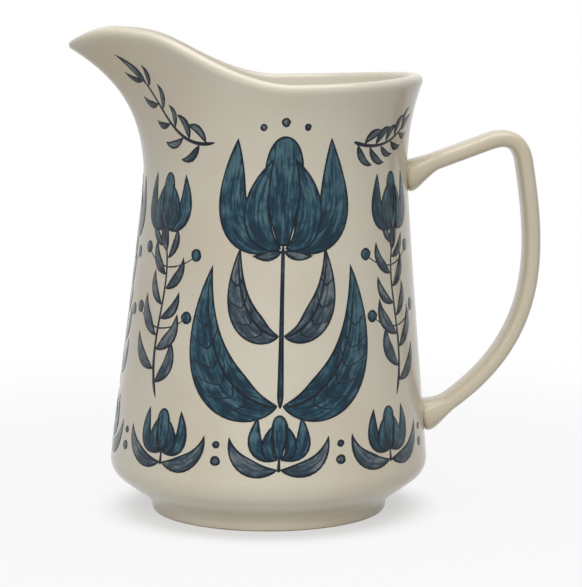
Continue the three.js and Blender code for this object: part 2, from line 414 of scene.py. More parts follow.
@dataclass(frozen=True)
class BareStoneware:
    """Wiped, unglazed stoneware of the standing edge. Scales are in waves to the metre."""

    pale: Rgba = srgb(198, 180, 150)
    dark: Rgba = srgb(168, 147, 116)
    grog: Rgba = srgb(118, 99, 76)
    cloud_scale: float = 70.0
    grain_scale: float = 900.0
    grog_range: tuple[float, float] = (0.58, 0.72)  # of the grain, where grog begins to show
    grog_show: float = 0.6
    roughness: tuple[float, float] = (0.72, 0.92)
    grit: float = 0.5
    grit_height: float = 0.3 * MM
    specular: float = 0.25

    def make(self) -> bpy.types.Material:
        """Lays out the bare clay.

        Returns:
            The material.
        """
        sheet = FinishSheet("bare_stoneware")
        where = sheet.here()
        grain = sheet.noise(where, self.grain_scale, detail=4, roughness=0.65)
        cloud = sheet.noise(where, self.cloud_scale, detail=3)
        colour = sheet.mix(sheet.span(cloud, *GREY, 0, 1), self.pale, self.dark)
        gritty = sheet.span(grain, *self.grog_range, 0, self.grog_show)
        colour = sheet.mix(gritty, colour, self.grog)
        sheet.bump(grain, self.grit, self.grit_height)
        return sheet.dress(colour, sheet.span(grain, *GREY, *self.roughness), self.specular)


@dataclass(frozen=True)
class BlueUnderglaze:
    """Washes of blue and slate with dark outlines, under the clear glaze."""

    deep: tuple[Rgba, ...] = (srgb(8, 42, 58), srgb(28, 66, 84), srgb(72, 104, 114))
    slate: tuple[Rgba, ...] = (srgb(38, 55, 67), srgb(64, 80, 91), srgb(112, 121, 124))
    shades: tuple[float, ...] = (0.0, 0.45, 1.0)  # how pale a wash is at each of its colours
    outline: Rgba = srgb(3, 20, 34)
    line_width: float = 0.85  # millimetres
    line_fade: tuple[float, float] = (0.7, 1.25)  # shares of that width over which a line fades
    line_waver: float = 0.16  # millimetres
    line_cover: float = 0.95
    slate_tones: tuple[float, float] = (0.3, 0.7)  # tones over which a wash turns to slate
    line_tones: tuple[float, float] = (1.4, 1.6)  # tones over which a stroke turns to a line
    streaks: tuple[float, float, float] = (0.09, 0.85, 5.3)  # along, across and between strokes
    streak_share: float = 0.62  # of a wash that streaks make uneven, the rest being pools
    pool_scale: float = 190.0
    tip_run: tuple[float, float] = (0.1, 1.0)  # shares of a stroke over which it grows paler
    tip_fade: tuple[float, float] = (-0.05, 0.06)  # how much paler it is at base and tip
    wash_range: tuple[float, float] = (0.38, 0.62)
    roughness: tuple[float, float] = (0.12, 0.2)
    ripple_scale: float = 55.0
    ripple: float = 0.2
    specular: float = 0.25

    def make(self) -> bpy.types.Material:
        """Lays out the washes and their outlines from what the strokes carry.

        Returns:
            The material.
        """
        sheet = FinishSheet("blue_underglaze")
        where = sheet.here()
        _, edge, share, tone = sheet.attribute("wash")
        pool = sheet.noise(where, self.pool_scale, detail=3, roughness=0.55)
        pale = self.paleness(sheet, pool, share)
        deep, slate = (sheet.ramp(pale, tuple(zip(self.shades, wash)))
                       for wash in (self.deep, self.slate))
        colour = sheet.mix(sheet.span(tone, *self.slate_tones, 0, 1), deep, slate)
        waver = sheet.math("ADD", edge, sheet.span(pool, *GREY, -self.line_waver, self.line_waver))
        fade = [self.line_width * part for part in self.line_fade]
        rim = sheet.span(waver, *fade, self.line_cover, 0)
        line = sheet.span(tone, *self.line_tones, 0, self.line_cover)
        drawn = sheet.math("MAXIMUM", rim, line)
        sheet.bump(sheet.noise(where, self.ripple_scale), self.ripple, MM)
        return sheet.dress(sheet.mix(drawn, colour, self.outline),
                           sheet.span(pool, *GREY, *self.roughness), self.specular)

    def paleness(self, sheet: FinishSheet, pool: bpy.types.NodeSocket,
                 share: bpy.types.NodeSocket) -> bpy.types.NodeSocket:
        """Makes a wash uneven, by streaks along the stroke and by pools.

        Args:
            sheet: The sheet that takes the nodes.
            pool: Grey value of the pools.
            share: How far along the stroke, from 0 to 1.

        Returns:
            How pale the wash is, from 0 to 1.
        """
        stretch = sheet.add("ShaderNodeVectorMath", operation="MULTIPLY")
        stretch.inputs[1].default_value = self.streaks
        sheet.join(sheet.attribute("stroke")[0], stretch.inputs[0])
        streak = sheet.noise(stretch.outputs[0], 1.0, detail=3, roughness=0.6)
        pale = sheet.math("ADD", sheet.math("MULTIPLY", streak, self.streak_share),
                          sheet.math("MULTIPLY", pool, 1 - self.streak_share))
        pale = sheet.math("ADD", pale, sheet.span(share, *self.tip_run, *self.tip_fade))
        return sheet.span(pale, *self.wash_range, 0, 1)


class Slot(Enum):
    """Material slots of the part's record."""

    GLAZE = "cream_glaze"
    BARE = "bare_stoneware"
    BLUE = "blue_underglaze"


@dataclass
class Shape:
    """Points, faces and what they carry, gathered before they become one piece."""

    points: list[Array] = field(default_factory=list)
    faces: list[tuple[int, ...]] = field(default_factory=list)
    flat: list[bool] = field(default_factory=list)
    finish: list[int] = field(default_factory=list)
    carried: dict[str, list[Array]] = field(default_factory=dict)
    count: int = 0

    def add_points(self, points: Array, **carried: Array) -> int:
        """Adds points and the vectors that they carry.

        Args:
            points: One point a row, in millimetres.
            carried: One vector a row for each attribute.

        Returns:
            Number of the first new point.
        """
        first = self.count
        self.points.append(points)
        for name, rows in carried.items():
            self.carried.setdefault(name, []).append(rows)
        self.count += len(points)
        return first

    def add_face(self, *corners: int, flat: bool = False, finish: int = 0) -> None:
        """Adds a face.

        Args:
            corners: Numbers of its points, turning left as seen from outside.
            flat: Whether it is shaded flat.
            finish: Number of its finish.
        """
        self.faces.append(corners)
        self.flat.append(flat)
        self.finish.append(finish)

    def add_rings(self, rings: list[Array], finish: list[int] | None = None,
                  looped: bool = False, **carried: list[Array]) -> None:
        """Adds a skin through closed rings of equal size, shut by a fan at each open end.

        Args:
            rings: The rings in order.
            finish: Number of the finish of each strip between rings.
            looped: Whether the last ring joins the first.
            carried: For each attribute, one array of vectors per ring.
        """
        size, total = len(rings[0]), len(rings)
        stacked = {name: np.concatenate(rows) for name, rows in carried.items()}
        base = self.add_points(np.concatenate(rings), **stacked)
        for i in range(total if looped else total - 1):
            here, after = base + i * size, base + ((i + 1) % total) * size
            look = finish[i] if finish else 0
            for j in range(size):
                k = (j + 1) % size
                self.add_face(here + j, after + j, after + k, here + k, finish=look)
        if looped:
            return
        for ring, way in ((0, 1), (total - 1, -1)):
            ends = {name: rows[ring][:1] for name, rows in carried.items()}
            middle = self.add_points(rings[ring].mean(axis=0)[None, :], **ends)
            start = base + ring * size
            for j in range(size):
                k = (j + 1) % size
                pair = (start + j, start + k) if way > 0 else (start + k, start + j)
                look = finish[min(ring, total - 2)] if finish else 0
                self.add_face(middle, *pair, finish=look)

    def to_piece(self, name: str, axis: float,
                 finishes: tuple[bpy.types.Material, ...]) -> bpy.types.Object:
        """Makes the Blender object.

        Args:
            name: Name of the piece.
            axis: Where the body's axis stands in the part's frame, in metres along X.
            finishes: The materials that the faces' numbers refer to.

        Returns:
            The object, in the part's frame.
        """
        points = np.concatenate(self.points) * MM + np.array([axis, 0, 0])
        mesh = bpy.data.meshes.new(name)
        mesh.from_pydata(points.tolist(), [], self.faces)
        for material in finishes:
            mesh.materials.append(material)
        mesh.polygons.foreach_set("use_smooth", [not flat for flat in self.flat])
        mesh.polygons.foreach_set("material_index", self.finish)
        for label, rows in self.carried.items():
            layer = mesh.attributes.new(label, "FLOAT_VECTOR", "POINT")
            layer.data.foreach_set("vector", np.concatenate(rows).astype(np.float32).ravel())
        mesh.update()
        piece = bpy.data.objects.new(name, mesh)
        bpy.context.scene.collection.objects.link(piece)
        return piece


@dataclass
class Bench:
    """Where the pieces are set down: the body's axis, and the finishes, each made once."""

    axis: float  # where the body's axis stands in the part's frame, in metres along X
    glaze: bpy.types.Material = field(default_factory=lambda: CreamGlaze().make())
    bare: bpy.types.Material = field(default_factory=lambda: BareStoneware().make())
    blue: bpy.types.Material = field(default_factory=lambda: BlueUnderglaze().make())

    def set_down(self, name: str, shape: Shape, slot: Slot, *finishes: bpy.types.Material,
                 nodes: tuple[str, ...] = ()) -> None:
        """Makes a piece, puts it on the part's body and hides the solids that it replaces.

        Args:
            name: Name of the piece.
            shape: Its points and faces.
            slot: The record's slot that its finish belongs to. Not used.
            finishes: The materials that the faces' numbers refer to.
            nodes: The solids that it replaces.
        """
        piece = shape.to_piece(name, self.axis, finishes)
        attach(piece, BODY)
        if nodes:
            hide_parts(*nodes)
        log.info("%s: %d points, %d faces", name, len(piece.data.vertices),
                 len(piece.data.polygons))


@dataclass(frozen=True)
class WallForm:
    """Form of the body, from which every other piece takes its place."""

    foot_radius: float = 50.2
    foot_splay: float = 0.2
    foot_height: float = 6.4
    foot_ring_width: float = 7.5
    foot_edge: float = 1.4
    floor_thickness: float = 5.0
    shoulder_radius: float = 68.4
    shoulder_height: float = 17.4
    shoulder_round: float = 6.6
    chamfer_swell: float = 1.0  # how far the middle of the chamfer is drawn out
    neck_height: float = 147.0
    neck_taper: float = 13.0
    taper_ease: float = 1.09
    wall_thickness: float = 4.8
    wall_lean: float = math.radians(1.55)
    rim_height: float = 179.5
    rim_back_rise: float = 2.4
    rim_flare: float = 5.3
    rim_thickness: float = 5.8
    rim_flare_start: float = 142.0
    rim_curve: float = 2.7
    beak_reach: float = 26.6
    beak_flare_start: float = 105.0
    beak_curve: float = 4.7
    beak_rise: float = 22.2
    beak_tip_drop: float = 5.5
    beak_thickness: float = 4.0
    beak_spread: float = math.radians(20.8)
    beak_crest: float = math.radians(16.7)
    rim_dip: float = math.radians(93.2)
    corner_pool_and_shade: float = 0.3  # how thick the glaze lies in the corner over the foot, with painted shade in that corner
    pool_and_shade_start: float = -4.0  # heights from the top of the foot at which it gathers,
    pool_and_shade_peak: float = 0.5  # is thickest
    pool_and_shade_end: float = 5.0  # and has run out

    @property
    def foot_top_radius(self) -> float:
        """Outside of the foot ring where it meets the base."""
        return self.foot_radius + self.foot_splay

    @property
    def neck_radius(self) -> float:
        """Radius of the narrowest part of the wall."""
        return self.shoulder_radius - self.neck_taper

    @property
    def seat(self) -> float:
        """Height at which the wall stands on the base.

        Returns:
            The height.
        """
        run = self.neck_height - self.shoulder_height
        taper = math.atan2(self.taper_ease * self.neck_taper, run)
        return self.shoulder_height + self.shoulder_round * math.cos(taper)

    @property
    def chamfer(self) -> float:
        """Slope of the chamfer under the body."""
        return math.atan2(self.shoulder_height - self.foot_height,
                          self.shoulder_radius - self.foot_top_radius)

    def chamfer_line(self, share: Array) -> Array:
        """Points down the chamfer.

        Args:
            share: How far down, from 0 below the shoulder to 1 at the foot.

        Returns:
            Radius and height in each row.
        """
        away = np.array((math.cos(self.chamfer), math.sin(self.chamfer)))
        start = (np.array((self.shoulder_radius, self.shoulder_height))
                 - away * self.shoulder_round)
        foot = np.array((self.foot_top_radius, self.foot_height))
        middle = (start + foot) / 2 + self.chamfer_swell * np.array((away[1], -away[0]))
        return bezier(share, start, middle, foot)

    def glaze_pool_and_shade(self, z: Array) -> Array:
        """How thick the glaze lies in the corner over the foot, with painted shade there.

        Args:
            z: Height.

        Returns:
            The share of a full pool, and of painted shade, at each height.
        """
        rise = z - self.foot_height
        gathered = smoothstep(rise, self.pool_and_shade_start, self.pool_and_shade_peak)
        return self.corner_pool_and_shade * gathered * (1 - smoothstep(rise, self.pool_and_shade_peak, self.pool_and_shade_end))

    def barrel_radius(self, z: Array | float) -> Array:
        """Radius of the wall before its rim is turned out."""
        rise = (np.asarray(z) - self.shoulder_height) / (self.neck_height - self.shoulder_height)
        return self.neck_radius + self.neck_taper * np.maximum(0, 1 - rise) ** self.taper_ease

    def rim_level(self, angle: Array) -> Array:
        """Height of the rim's outer edge.

        Args:
            angle: Angle from the beak.

        Returns:
            The height at each angle.
        """
        beak = smoothstep(self.rim_dip - angle, 0, self.rim_dip - self.beak_crest)
        back = smoothstep(angle, self.rim_dip, math.pi)
        tip = 1 - smoothstep(angle, 0, self.beak_crest)
        return (self.rim_height + self.beak_rise * beak + self.rim_back_rise * back
                - self.beak_tip_drop * tip)

    def beak_share(self, angle: Array) -> Array:
        """How much of the beak there is at an angle from its middle."""
        return np.exp(-((angle / self.beak_spread) ** 2))

    def lip_thickness(self, angle: Array) -> Array:
        """Thickness of the rim at an angle from the beak."""
        change = self.beak_thickness - self.rim_thickness
        return self.rim_thickness + change * self.beak_share(angle)

    def turn_out(self, angle: Array, z: Array) -> Array:
        """How far the wall is turned out below the rim.

        Args:
            angle: Angle from the beak.
            z: Height.

        Returns:
            The distance for each pair.
        """
        top = self.rim_level(angle)

        def share(start: float, curve: float) -> Array:
            """How much of the turn is reached at this height."""
            return np.maximum(0, (z - start) / (top - start)) ** curve

        reach = self.beak_reach * self.beak_share(angle)
        return (self.rim_flare * share(self.rim_flare_start, self.rim_curve)
                + reach * share(self.beak_flare_start, self.beak_curve))

    def centre(self, z: Array | float) -> Array:
        """Where the leaning axis of the wall stands at a height."""
        return math.tan(self.wall_lean) * (np.asarray(z) - self.seat)

    def outside(self, turn: Array, z: Array) -> Array:
        """Points on the outside of the wall.

        Args:
            turn: Way round from the beak.
            z: Height.

        Returns:
            One point for each pair.
        """
        radius = self.barrel_radius(z) + self.turn_out(from_beak(turn), z)
        return np.stack((self.centre(z) - radius * np.cos(turn), -radius * np.sin(turn),
                         z + 0 * turn), axis=-1)

    def frame_at(self, turn: Array, z: Array) -> tuple[Array, Array, Array]:
        """Points on the outside of the wall, with the ways up along it and out of it.

        Args:
            turn: Way round from the beak.
            z: Height.

        Returns:
            The points, the way up at each and the way out at each.
        """
        step, lift = 1e-3, 0.02
        along = self.outside(turn + step, z) - self.outside(turn - step, z)
        up = self.outside(turn, z + lift) - self.outside(turn, z - lift)
        return self.outside(turn, z), unit(up), unit(np.cross(along, up))

    def back(self, y: Array | float, z: Array | float) -> Array:
        """Where the wall stands on the handle's side, at a distance to one side and a height."""
        radius = self.barrel_radius(z)
        return self.centre(z) + np.sqrt(np.maximum(radius**2 - np.asarray(y) ** 2, 0))


@dataclass
class Vessel:
    """The glazed body: floor, wall, beak and chamfered base in one skin."""

    form: WallForm
    columns: int = 264
    crowding: float = 0.4  # share by which the columns stand closer at the beak
    wall_rows: int = 84
    row_crowding: float = 1.3  # above 1 the rows stand closer at the rim
    rim_steps: int = 10
    bend_steps: int = 8
    shoulder_steps: int = 20
    chamfer_steps: int = 16
    floor_rings: int = 16
    under_rings: int = 18
    hub: float = 1.5  # radius of the smallest ring of the floor and of the underside
    floor_cove: float = 5.0
    cove_margin: float = 0.5  # between the flat of the floor and its cove
    under_margin: float = 0.4  # between the chamfer and the flat of the underside
    thin_and_highlight_inside: float = 0.9  # share of the wall's rise at which the glaze begins to run thin under a painted highlight
    thin_and_highlight_outside: float = 0.93
    floor_pool_and_shade_radius: float = 46.0  # where the glaze gathers inside, with painted shade in the corner of the floor
    floor_pool_and_shade_width: float = 9.0
    hollow_rise: tuple[float, float] = (0.6, 0.88)  # where the glaze thickens under the beak, with painted shade there
    hollow_end: float = 0.96  # where it begins to thin again
    hollow_spread: float = 1.35  # how much wider than the beak that is
    nodes: tuple[str, ...] = ("body_wall", "spout_beak", "base_dish")

    def turns(self) -> Array:
        """Way round of each column, closer together at the beak."""
        even = even_turns(self.columns)
        return even - self.crowding * np.sin(even)

    def inside_base(self) -> Array:
        """Profile of the floor inside and of its turn up to the wall's seat.

        Returns:
            Radius and height in each row.
        """
        form = self.form
        radius = float(form.barrel_radius(form.seat)) - form.wall_thickness
        floor = form.foot_height + form.floor_thickness
        slope = math.tan(form.chamfer)
        corner = (form.foot_height + (radius - form.foot_top_radius) * slope
                  + form.wall_thickness / math.cos(form.chamfer))
        ease = min(form.shoulder_round, form.seat - corner)
        bend = (radius - ease * math.cos(form.chamfer), corner - ease * math.sin(form.chamfer))
        edge = radius - (corner - floor) / slope
        cove = self.floor_cove
        up = (edge + cove * math.cos(form.chamfer), floor + cove * math.sin(form.chamfer))
        share = np.linspace(0, 1, self.bend_steps)
        flat = np.linspace(self.hub, edge - cove - self.cove_margin, self.floor_rings)
        return np.concatenate((
            np.stack((flat, np.full_like(flat, floor)), axis=-1),
            bezier(share, (edge - cove, floor), (edge, floor), up),
            bezier(share, bend, (radius, corner), (radius, form.seat))[:-1],
        ))

    def outside_base(self) -> Array:
        """Profile from the wall's seat over the shoulder and chamfer to the base's underside.

        Returns:
            Radius and height in each row.
        """
        form = self.form
        slope = form.chamfer_line(np.linspace(0, 1, self.chamfer_steps))
        seat = (float(form.barrel_radius(form.seat)), form.seat)
        shoulder = bezier(np.linspace(0, 1, self.shoulder_steps), seat,
                          (form.shoulder_radius, form.shoulder_height), slope[0])
        under = np.linspace(form.foot_top_radius - self.under_margin, self.hub, self.under_rings)
        flat = np.stack((under, np.full_like(under, form.foot_height)), axis=-1)
        return np.concatenate((shoulder[1:-1], slope, flat))

    def wall(self) -> tuple[list[Array], list[Array], list[Array]]:
        """Rings of the wall.

        Returns:
            Up the inside, over the rim and down the outside.
        """
        form, turn = self.form, self.turns()
        angle = from_beak(turn)
        top, lip = form.rim_level(angle), form.lip_thickness(angle)[:, None]
        inside, outside = [], []
        for even in np.linspace(0, 1, self.wall_rows):
            rise = 1 - (1 - even) ** self.row_crowding
            point, _, out = form.frame_at(turn, form.seat + rise * (top - form.seat))
            thick = form.wall_thickness + rise * (lip - form.wall_thickness)
            if even == 0:
                out = unit(out * np.array([1, 1, 0]))
            outside.append(point)
            inside.append(point - out * thick)
        _, up, out = form.frame_at(turn, top)
        middle, half = (outside[-1] + inside[-1]) / 2, lip / 2
        sweeps = np.linspace(0, math.pi, self.rim_steps + 1)[1:-1]
        rim = [middle - out * half * math.cos(s) + up * half * math.sin(s) for s in sweeps]
        return inside, rim, outside[::-1]

    def build(self, bench: Bench) -> None:
        """Makes the body in one closed skin.

        Args:
            bench: Where it is set down.
        """
        inside, rim, outside = self.wall()
        low, under, turn = self.inside_base(), self.outside_base(), self.turns()
        up, down = np.linspace(0, 1, len(inside)), np.linspace(1, 0, len(outside))
        # thin glaze with a painted highlight, over the rim
        thin_glaze_and_highlight = np.concatenate((
            np.zeros(len(low)),
            smoothstep(up, self.thin_and_highlight_inside, 1),
            np.ones(len(rim)),
            smoothstep(down, self.thin_and_highlight_outside, 1),
            np.zeros(len(under)),
        ))
        even = np.ones(self.columns)
        # glaze pooled thick with painted shade: round the floor's corner, under the beak and over
        # the foot
        from_pool_and_shade = np.abs(low[:, 0] - self.floor_pool_and_shade_radius)
        hollow = smoothstep(down, *self.hollow_rise) * (1 - smoothstep(down, self.hollow_end, 1))
        below_beak = self.form.beak_share(from_beak(turn) / self.hollow_spread)
        pool = np.concatenate((
            np.outer(1 - smoothstep(from_pool_and_shade, 0, self.floor_pool_and_shade_width), even),
            np.zeros((len(inside) + len(rim), self.columns)),
            np.outer(hollow, below_beak),
            np.outer(self.form.glaze_pool_and_shade(under[:, 1]), even),
        ))
        rings = [*lathe(low, turn), *inside, *rim, *outside, *lathe(under, turn)]
        carried = [np.stack((a * even, b, 0 * even), axis=-1) for a, b in zip(thin_glaze_and_highlight, pool)]
        shape = Shape()
        shape.add_rings(rings, glaze=carried)
        bench.set_down("glazed_body", shape, Slot.GLAZE, bench.glaze, nodes=self.nodes)


@dataclass
class FootRing:
    """The low ring that the pitcher stands on, glazed outside and wiped bare underneath."""

    form: WallForm
    columns: int = 200
    steps: int = 7
    cove_steps: int = 16
    sunk: float = 0.15  # how far its top is let into the base
    inner_round: float = 0.9
    inner_margin: float = 0.3  # between that round and the flat of the inside
    cove_drop: float = 4.6  # how far its soft joint runs down the ring
    cove_start: float = 0.45  # where down the chamfer it begins
    cove_splay: float = 0.1  # how much wider the ring is where it ends
    cove_rise: float = 0.7  # share of its drop over which it leaves the ring upright
    cove_sweep: float = 5.5  # how far it keeps to the slope of the chamfer
    slope_step: float = 0.02  # share of the chamfer over which that slope is taken
    tuck: tuple[tuple[float, float], ...] = ((0.5, 0.03), (1.2, 0.12), (1.0, 0.8))
    top_margin: float = 1.0  # from the outside of the base to the ring's top
    wipe_line: float = 0.55  # height up to which the outside is wiped
    nodes: tuple[str, ...] = ("foot_ring",)

    def profile(self) -> Array:
        """Outline of the ring's section, from its inner top down, under and up the outside.

        Past the cove it is tucked in, by steps up the chamfer and into it.

        Returns:
            Radius and height in each row.
        """
        form = self.form
        top, outer = form.foot_height + self.sunk, form.foot_radius
        inner, inner_top = outer - form.foot_ring_width, form.foot_top_radius - form.foot_ring_width
        edge, soft = form.foot_edge, self.inner_round
        share = np.linspace(0, 1, self.steps)
        lower = np.array((outer + self.cove_splay, form.foot_height - self.cove_drop))
        upper, ahead = form.chamfer_line(self.cove_start + np.array((0, self.slope_step)))
        slope = unit(upper - ahead)
        into = np.array((-slope[1], slope[0]))
        return np.concatenate((
            bezier(share[::2], (inner_top, top), (inner, soft + self.inner_margin)),
            bezier(share, (inner, soft), (inner, 0), (inner + soft, 0)),
            bezier(share[1:-1], (inner + soft, 0), (outer - edge, 0)),
            bezier(share, (outer - edge, 0), (outer, 0), (outer, edge)),
            bezier(share[1::2], (outer, edge), lower),
            bezier(np.linspace(0, 1, self.cove_steps), lower,
                   lower + (0, self.cove_rise * self.cove_drop),
                   upper - slope * self.cove_sweep, upper),
            [upper + slope * up + into * deep for up, deep in self.tuck],
            [(form.foot_top_radius - self.top_margin, top)],
        ))

    def build(self, bench: Bench) -> None:
        """Makes the ring.

        Args:
            bench: Where it is set down.
        """
        profile = self.profile()[::-1]
        middle = (profile + np.roll(profile, -1, axis=0)) / 2
        outer = middle[:, 0] > self.form.foot_radius - self.form.foot_ring_width / 2
        glazed = outer & (middle[:, 1] > self.wipe_line)
        # painted shade in the corner over the foot, as pooled glaze
        pools_and_shade = self.form.glaze_pool_and_shade(profile[:, 1])
        carried = [np.tile((0.0, pool, 0.0), (self.columns, 1)) for pool in pools_and_shade]
        shape = Shape()
        shape.add_rings(lathe(profile, even_turns(self.columns)), looped=True, glaze=carried,
                        finish=[0 if wet else 1 for wet in glazed])
        bench.set_down("foot_ring_clay", shape, Slot.BARE, bench.glaze, bench.bare,
                       nodes=self.nodes)


@dataclass
class Handle:
    """The loop handle, a soft flat strap that flares into a lug on the wall at each end."""

    form: WallForm
    top: float = 144.0
    reach: float = 51.7
    corner_height: float = 161.5
    bend: float = 14.2
    foot: float = 37.8
    lower_rise: float = math.radians(29.5)
    lower_sweep: float = 60.8
    grip_splay: float = math.radians(9)
    grip_sweep: float = 39.3
    thickness: float = 7.3
    width: float = 16.0
    lug_length: float = 13.0
    lug_width: float = 24.0
    lug_height: float = 16.2
    lug_swell: float = 1.4
    upper_drop: float = 3.2
    toe_round: float = 5.0  # run over which the toe of a lug rounds in to the wall
    toe_tuck: float = 2.2  # how far it rounds in
    squareness: float = 2.9  # 2 is an oval, and more is a flatter strap
    lug_squareness: float = 2.15
    strap_pool_and_shade: float = 0.65  # how thick the glaze lies on the strap, with painted shade darkening it
    root_pool_and_shade: float = 0.25  # how much thicker at its roots, with painted shade where they meet the wall
    root_rings: tuple[int, int] = (1, 7)  # rings from an end over which that runs out
    line_points: int = 600  # on each stretch of the centre line
    sweep_points: int = 721  # round a section, before they are spaced evenly
    section_points: int = 64
    strap_steps: int = 150
    lug_steps: int = 16
    lug_crowding: float = 1.2  # above 1 the rings of a lug stand closer at the wall
    buried: float = 2.4  # depth of each end in the wall
    buried_size: float = 0.9  # share of its size that is left there
    nodes: tuple[str, ...] = ("handle_loop", "upper_handle_lug", "lower_handle_lug")

    def line(self) -> Array:
        """Centre line from wall to wall, finely divided.

        Returns:
            X and Z in each row.
        """
        form = self.form
        top = np.array((float(form.back(0, self.top)), self.top))
        corner = np.array((form.neck_radius + self.reach, self.corner_height))
        bottom = np.array((float(form.back(0, self.foot)), self.foot))
        arm_way = unit(corner - top)
        grip_way = np.array((math.sin(self.grip_splay), -math.cos(self.grip_splay)))
        lower_way = np.array((math.cos(self.lower_rise), math.sin(self.lower_rise)))
        start, end = corner - arm_way * self.bend, corner + grip_way * self.bend
        share = np.linspace(0, 1, self.line_points)
        return np.concatenate((
            bezier(share, top, start)[:-1],
            bezier(share, start, corner, end)[:-1],
            bezier(share, end, end + grip_way * self.grip_sweep,
                   bottom + lower_way * self.lower_sweep, bottom),
        ))

    def sections(self) -> list[Array]:
        """Rings of the strap from inside the wall at the upper lug to inside it at the lower.

        Returns:
            The rings.
        """
        line = self.line()
        run = run_along(line)
        length = run[-1]
        near = self.lug_length * np.linspace(0, 1, self.lug_steps) ** self.lug_crowding
        strap = np.linspace(self.lug_length, length - self.lug_length, self.strap_steps)
        places = np.concatenate((near[:-1], strap, length - near[-2::-1]))
        ways = np.gradient(line, run, axis=0)
        rings = []
        for at in places:
            x, z = (np.interp(at, run, line[:, i]) for i in (0, 1))
            way = np.array([np.interp(at, run, ways[:, i]) for i in (0, 1)])
            from_wall, upper = min(at, length - at), at < length / 2
            flare = max(0.0, 1 - from_wall / self.lug_length) ** self.lug_swell
            left = max(0.0, 1 - from_wall / self.toe_round)
            tuck = self.toe_tuck * (1 - math.sqrt(1 - left**2))
            rings.append(self.section(x, z, way, flare, upper, tuck))
        return [self.sink(rings[0]), *rings, self.sink(rings[-1])]

    def section(self, x: float, z: float, way: Array, flare: float, upper: bool,
                tuck: float) -> Array:
        """One ring of the strap.

        Args:
            x: Centre of the ring.
            z: Height of its centre.
            way: Direction of the centre line there.
            flare: 0 for the plain strap, 1 for the lug at the wall.
            upper: Whether it belongs to the upper half.
            tuck: How much smaller it is for the round at the wall.

        Returns:
            The ring's points.
        """
        over = unit(np.array((-way[1], way[0])))
        over = unit(over * (1 - flare) + np.array((0, math.copysign(1, over[1]))) * flare)
        half_width = (self.width + flare * (self.lug_width - self.width)) / 2 - tuck
        half_height = (self.thickness + flare * (self.lug_height - self.thickness)) / 2 - tuck
        power = 2 / (self.squareness + flare * (self.lug_squareness - self.squareness))
        sweep = np.linspace(0, FULL_TURN, self.sweep_points)
        side = half_width * np.sign(np.cos(sweep)) * np.abs(np.cos(sweep)) ** power
        rise = half_height * np.sign(np.sin(sweep)) * np.abs(np.sin(sweep)) ** power
        run = run_along(np.stack((side, rise), axis=-1))
        even = np.arange(self.section_points) * run[-1] / self.section_points
        side, rise = np.interp(even, run, side), np.interp(even, run, rise)
        drop = self.upper_drop * flare if upper else 0.0
        height = z - drop + tuck + over[1] * rise
        out = x + over[0] * rise
        wall = self.form.back(side, height)
        fitted = out + (wall - self.form.back(0, z)) * flare**2
        return np.stack((np.where(flare >= 1, wall, fitted), side, height), axis=-1)

    def sink(self, ring: Array) -> Array:
        """A ring let into the wall behind the end of a lug.

        Args:
            ring: The last ring, on the wall.

        Returns:
            The sunk ring.
        """
        middle = ring.mean(axis=0)
        inner = middle + (ring - middle) * self.buried_size
        inner[:, 0] = self.form.back(inner[:, 1], inner[:, 2]) - self.buried
        return inner

    def build(self, bench: Bench) -> None:
        """Makes the handle with both lugs.

        Args:
            bench: Where it is set down.
        """
        rings = self.sections()
        number = np.arange(len(rings))
        from_end = np.minimum(number, number[::-1])
        # pooled glaze and painted shade over the strap, darkest at its roots
        pools_and_shade = self.strap_pool_and_shade + self.root_pool_and_shade * (1 - smoothstep(from_end, *self.root_rings))
        carried = [np.tile((0.0, pool, 0.0), (self.section_points, 1)) for pool in pools_and_shade]
        shape = Shape()
        shape.add_rings([ring[::-1] for ring in rings], glaze=carried)
        bench.set_down("loop_handle", shape, Slot.GLAZE, bench.glaze, nodes=self.nodes)


class Tone(Enum):
    """What a stroke is painted with."""

    DEEP = 0.0
    SLATE = 1.0
    LINE = 2.0


class Taper(Enum):
    """How the width of a stroke runs from its base to its tip."""

    LEAF = "pointed at both ends"
    PETAL = "narrow at the base and broad and round at the tip"
    STEM = "even, thinning to the tip"
    BERRY = "round"

    def half_widths(self, share: Array) -> Array:
        """Half width along a stroke.

        Args:
            share: How far along it, from 0 to 1.

        Returns:
            The half width at each share, about 1 at the widest.
        """
        if self is Taper.LEAF:
            return np.sin(math.pi * share**0.82) ** 0.9
        if self is Taper.PETAL:
            return 1.32 * (0.16 + 0.84 * share**0.9) * np.sqrt(np.maximum(0, 1 - share**3.2))
        if self is Taper.STEM:
            return (1 - 0.45 * share) * np.sqrt(np.clip(16 * share * (1 - share), 0, 1))
        return 2 * np.sqrt(np.maximum(0, share * (1 - share)))


class Side(Enum):
    """A side of the pitcher, by the way round from the beak to its middle."""

    FRONT = math.pi / 2
    BACK = 3 * math.pi / 2
    BEAK = 0.0


Spine = Sequence[tuple[float, float] | Array]


def placed(spine: Spine, way: int = 1, x: float = 0.0, z: float = 0.0, size: float = 1.0) -> Spine:
    """Puts a spine at a point of the design.

    Args:
        spine: The spine's control points, from that point.
        way: 1 to keep it and -1 to turn it over from left to right.
        x: Distance of the point across the design.
        z: Its height.
        size: How much larger the spine is drawn.

    Returns:
        The spine in its place.
    """
    return [(x + across * way * size, z + up * size) for across, up in spine]


def branch_off(point: Array, way: Array, spine: Spine, size: float, turn: int) -> Spine:
    """Puts a spine where it branches off a line.

    Args:
        point: Where it branches off.
        way: Direction of the line there.
        spine: The spine's control points, ahead along the line and aside.
        size: How much larger the spine is drawn.
        turn: 1 for a branch to the left and -1 for one to the right.

    Returns:
        The spine in its place.
    """
    left = np.array((-way[1], way[0])) * turn
    return [point + (way * ahead + left * aside) * size for ahead, aside in spine]


